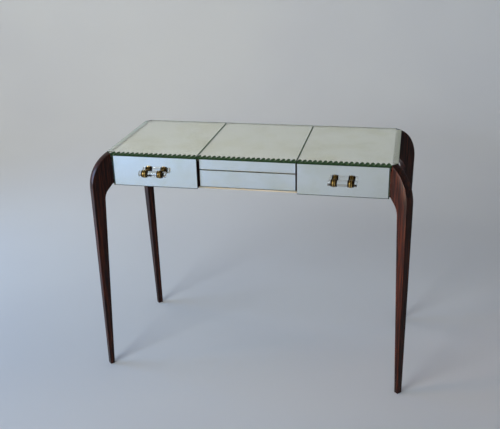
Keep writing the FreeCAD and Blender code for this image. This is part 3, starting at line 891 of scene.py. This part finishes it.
def makePull(side):
    rodNode = f"{side}_pull_rod"
    low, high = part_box(rodNode)
    centre = (low + high) / 2
    rodRadius = (high.z - low.z) / 2
    rodHalf = (high.x - low.x) / 2
    arris = pullParts["rodArris"]
    middle = arris * pullParts["rodArrisMiddle"]
    shape = bmesh.new()
    corner = [
        (rodHalf, 0),
        (rodHalf, rodRadius - arris),
        (rodHalf - middle, rodRadius - middle),
        (rodHalf - arris, rodRadius),
    ]
    profile = [(-along, radius) for along, radius in corner] + corner[::-1]
    lathe(shape, centre, (1, 0, 0), profile, pullParts["rodSegments"], closed=False)
    sharpen(shape, pullParts["rodCrease"])
    addPiece(f"{side}PullRod", shape, bodyOf(rodNode), "clear_glass", [rodGlass], rodNode)

    collarNode = f"{side}_pull_collars"
    barrelRadius = (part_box(collarNode)[1].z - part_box(collarNode)[0].z) / 2
    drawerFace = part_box(f"{side}_drawer_mirror")[0].y
    shape = bmesh.new()
    length = pullParts["barrelLength"]
    bore = rodRadius + pullParts["boreFit"]
    half = [(place * mm - length / 2, barrelRadius - under * mm) for place, under, brown in barrelSteps]
    shadeSlots = [int(brown) for place, under, brown in barrelSteps]
    profile = half + [(-along, radius) for along, radius in reversed(half)]
    profile += [(length / 2, bore), (-length / 2, bore)]
    slots = shadeSlots + shadeSlots[-2::-1] + [1, 1, 1]  # the ends and the bore take the painted shade too
    for sign in (-1, 1):
        spot = centre + Vector((sign * pullParts["barrelSpacing"] / 2, 0, 0))
        lathe(shape, spot, (1, 0, 0), profile, pullParts["barrelSegments"], slots)
        reach = drawerFace - spot.y
        rose = reach - pullParts["roseHeight"]
        seat = reach - pullParts["roseGap"]
        fillet = pullParts["stemFillet"]
        stem = [
            (barrelRadius - fillet, 0),
            (barrelRadius - fillet, pullParts["stemRadius"] + fillet),
            (barrelRadius + fillet, pullParts["stemRadius"]),
            (rose - pullParts["roseCove"], pullParts["stemRadius"]),
            (rose, pullParts["roseRadius"] - pullParts["roseArris"]),
            (rose + pullParts["roseArris"], pullParts["roseRadius"]),
            (seat, pullParts["roseRadius"]),
            (seat, 0),
        ]
        lathe(shape, spot, (0, 1, 0), stem, pullParts["stemSegments"], closed=False)
    sharpen(shape, pullParts["barrelCrease"])
    addPiece(f"{side}PullCollars", shape, bodyOf(collarNode), "brass", [brass, shadedBrass], collarNode)


for side in ("left", "right"):
    makePull(side)
print("stage: pulls turned")


# Hinge screws: flat heads in two halves either side of the slot, a hair proud of their leaf
hingeScrew = {
    "radius": 3 * mm,
    "crown": 0.3 * mm,  # how much narrower the head is on top
    "slot": 0.8 * mm,
    "proud": 0.15 * mm,
    "sunk": 0.3 * mm,
    "arcSteps": 14,
    # mm along the hinge and in from the leaf's front, and degrees that the slot is turned by
    "spots": [(-16, 6, 20), (0, 12, 75), (16, 6, -35)],
}


def addScrew(shape, centre, facing, turn):
    radius = hingeScrew["radius"]
    levels = [
        (-hingeScrew["sunk"], radius),
        (0, radius),
        (hingeScrew["proud"], radius - hingeScrew["crown"]),
    ]
    for half in (0, math.pi):
        rows = []
        for height, reach in levels:
            start = math.asin(hingeScrew["slot"] / 2 / reach)
            row = []
            for step in range(hingeScrew["arcSteps"] + 1):
                angle = turn + half + start + (math.pi - 2 * start) * step / hingeScrew["arcSteps"]
                spot = Vector((math.cos(angle) * reach, math.sin(angle) * reach, facing * height))
                row.append(shape.verts.new(centre + spot))
            rows.append(row)
        shape.faces.new(rows[0])
        shape.faces.new(rows[-1])
        for lower, upper in zip(rows, rows[1:]):
            for step in range(len(lower)):
                after = (step + 1) % len(lower)
                shape.faces.new([lower[step], lower[after], upper[after], upper[step]])


def makeScrews(name, leaf, plane, facing):
    low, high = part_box(leaf)
    shape = bmesh.new()
    for along, inFrom, turn in hingeScrew["spots"]:
        centre = Vector(((low.x + high.x) / 2 + along * mm, low.y + inFrom * mm, plane))
        addScrew(shape, centre, facing, math.radians(turn))
    bmesh.ops.recalc_face_normals(shape, faces=shape.faces)
    addPiece(name, shape, bodyOf(leaf), "brass", [brass])


for side in ("left", "right"):
    makeScrews(f"{side}FixedScrews", f"{side}_hinge_fixed_leaf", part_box("well_back_rail")[1].z, 1)
    makeScrews(f"{side}MovingScrews", f"{side}_hinge_moving_leaf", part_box("lid_back_rail")[0].z, -1)
print("stage: hinge screws driven")


# Carried-over solids: their triangles joined into plain faces, edges eased, then finished
easing = {
    "leg": 1.6 * mm,
    "board": 0.5 * mm,
    "brass": 0.15 * mm,
    "segments": 3,
    "weld": 0.002 * mm,
    "plainWithin": 0.6,  # degrees between the triangles of one plain face
    "sharpFrom": 28,  # degrees at which an edge is eased
}


def dress(node, material, ease):
    piece = nodes[node]
    piece.data.materials.clear()
    piece.data.materials.append(material)
    weld = piece.modifiers.new("weld", "WELD")
    weld.merge_threshold = easing["weld"]
    plain = piece.modifiers.new("plainFaces", "DECIMATE")
    plain.decimate_type = "DISSOLVE"
    plain.angle_limit = math.radians(easing["plainWithin"])
    eased = piece.modifiers.new("easedEdges", "BEVEL")
    eased.width = ease
    eased.segments = easing["segments"]
    eased.limit_method = "ANGLE"
    eased.angle_limit = math.radians(easing["sharpFrom"])
    eased.harden_normals = True


# Solids by the way their grain runs
darkNodes = {
    "x": ["back_panel", "well_front_rail", "lid_front_rail", "lid_back_rail", "vanity_mirror_beads"],
    "y": ["lid_panel", "lid_left_rail", "lid_right_rail"],
    "z": [],
}
paleNodes = {
    "x": ["well_bottom", "well_back_rail"],
    "y": [],
}
for side in ("left", "right"):
    darkNodes["x"] += [f"{side}_drawer_front"]
    darkNodes["y"] += [f"{side}_divider"]
    darkNodes["z"] += [f"front_{side}_leg", f"back_{side}_leg"]
    paleNodes["x"] += [f"{side}_drawer_back"]
    for piece in ("side_panel", "top_board", "drawer_outer_side", "drawer_inner_side", "drawer_bottom"):
        paleNodes["y"] += [f"{side}_{piece}"]
    paleNodes["y"] += [f"{side}_outer_runner", f"{side}_inner_runner"]
    for piece in ("hinge_fixed_leaf", "hinge_moving_leaf", "hinge_pin", "pull_nuts"):
        dress(f"{side}_{piece}", brass, easing["brass"])
for axis, group in darkNodes.items():
    for node in group:
        dress(node, darkWood[axis], easing["leg"] if node.endswith("_leg") else easing["board"])
for axis, group in paleNodes.items():
    for node in group:
        dress(node, paleWood[axis], easing["board"])
print("stage: solids dressed")


# Stage: a round cove of white paper, so that every side of the table has the same pale floor and wall
paperCove = {
    "colour": "#e2e2e2",
    "shade": "#dddddf",
    "cloud": 1.2,  # metres across
    "roughness": 0.9,
    "specular": 0.2,
    "floorRadius": 2.7,
    "turnRadius": 1.4,
    "wallTop": 5.0,
    "turnSteps": 20,
    "segments": 96,
}


def makeCove():
    material, tree, output = newMaterial("mattePaper")
    place = addNode(tree, "ShaderNodeTexCoord")
    cloud = addNode(
        tree,
        "ShaderNodeTexNoise",
        {"Scale": 1 / paperCove["cloud"], "Detail": 2},
        {"Vector": place.outputs["Object"]},
    )
    colour = addNode(
        tree,
        "ShaderNodeValToRGB",
        links={"Fac": cloud.outputs["Fac"]},
        ramp=[(0.35, paperCove["shade"]), (0.65, paperCove["colour"])],
    )
    shader = addNode(
        tree,
        "ShaderNodeBsdfPrincipled",
        {"Roughness": paperCove["roughness"], "Specular IOR Level": paperCove["specular"]},
        {"Base Color": colour.outputs["Color"]},
    )
    tree.links.new(shader.outputs["BSDF"], output.inputs["Surface"])
    turn = paperCove["turnRadius"]
    profile = [(0, 0)]
    for step in range(paperCove["turnSteps"] + 1):
        angle = math.pi / 2 * step / paperCove["turnSteps"]
        profile.append((turn * (1 - math.cos(angle)), paperCove["floorRadius"] + turn * math.sin(angle)))
    profile.append((paperCove["wallTop"], paperCove["floorRadius"] + turn))
    shape = bmesh.new()
    lathe(shape, (0, 0, 0), (0, 0, 1), profile, paperCove["segments"], closed=False)
    mesh = bpy.data.meshes.new("paperCove")
    shape.to_mesh(mesh)
    shape.free()
    mesh.materials.append(material)
    cove = bpy.data.objects.new("paperCove", mesh)
    bpy.context.scene.collection.objects.link(cove)


makeCove()
print("stage: paper cove hung")

# Light: soft boxes to the front left, cool and low on the left and on the far wall, a narrow warm one
# on the right front leg and a blue one on the floor at the front left
lightPlan = {
    "frontBox": {
        "at": (-1.7, -3.0, 2.4),
        "to": (-0.2, 0, 0.6),
        "size": 1.5,
        "spread": 180,
        "watts": 55,
        "colour": "#eefaff",
    },
    "leftBox": {
        "at": (-2.8, -0.2, 0.9),
        "to": (0.6, 0.5, 0.2),
        "size": 1.2,
        "spread": 110,
        "watts": 14,
        "colour": "#a6ccff",
    },
    "wallBox": {
        "at": (-1.8, 0.9, 3.2),
        "to": (-1.0, 4.0, 1.2),
        "size": 1.4,
        "spread": 150,
        "watts": 33.5,
        "colour": "#fdfffb",
    },
    "legBox": {
        "at": (-2.4, -1.2, 0.55),
        "to": (0.45, -0.25, 0.45),
        "size": 0.5,
        "spread": 24,
        "watts": 2.2,
        "colour": "#ffdcc0",
    },
    "floorBox": {
        "at": (-2.3, -2.8, 1.4),
        "to": (-1.1, -2.2, 0),
        "size": 0.9,
        "spread": 80,
        "watts": 5,
        "colour": "#1f9cff",
    },
}
roomLight = {"colour": "#fff6ee", "strength": 0.16}


def placeLights():
    for name, plan in lightPlan.items():
        data = bpy.data.lights.new(name, "AREA")
        data.shape = "SQUARE"
        data.size = plan["size"]
        data.spread = math.radians(plan["spread"])
        data.energy = plan["watts"]
        data.color = toLinear(plan["colour"])[:3]
        lamp = bpy.data.objects.new(name, data)
        lamp.visible_transmission = False  # keeps the box's glare out of the glass rods
        lamp.location = plan["at"]
        aim = Vector(plan["to"]) - Vector(plan["at"])
        lamp.rotation_euler = aim.to_track_quat("-Z", "Y").to_euler()
        bpy.context.scene.collection.objects.link(lamp)
    world = bpy.data.worlds.new("paleRoom")
    world.use_nodes = True
    background = world.node_tree.nodes["Background"]
    background.inputs["Color"].default_value = toLinear(roomLight["colour"])
    background.inputs["Strength"].default_value = roomLight["strength"]
    bpy.context.scene.world = world


placeLights()
print("stage: lights placed")
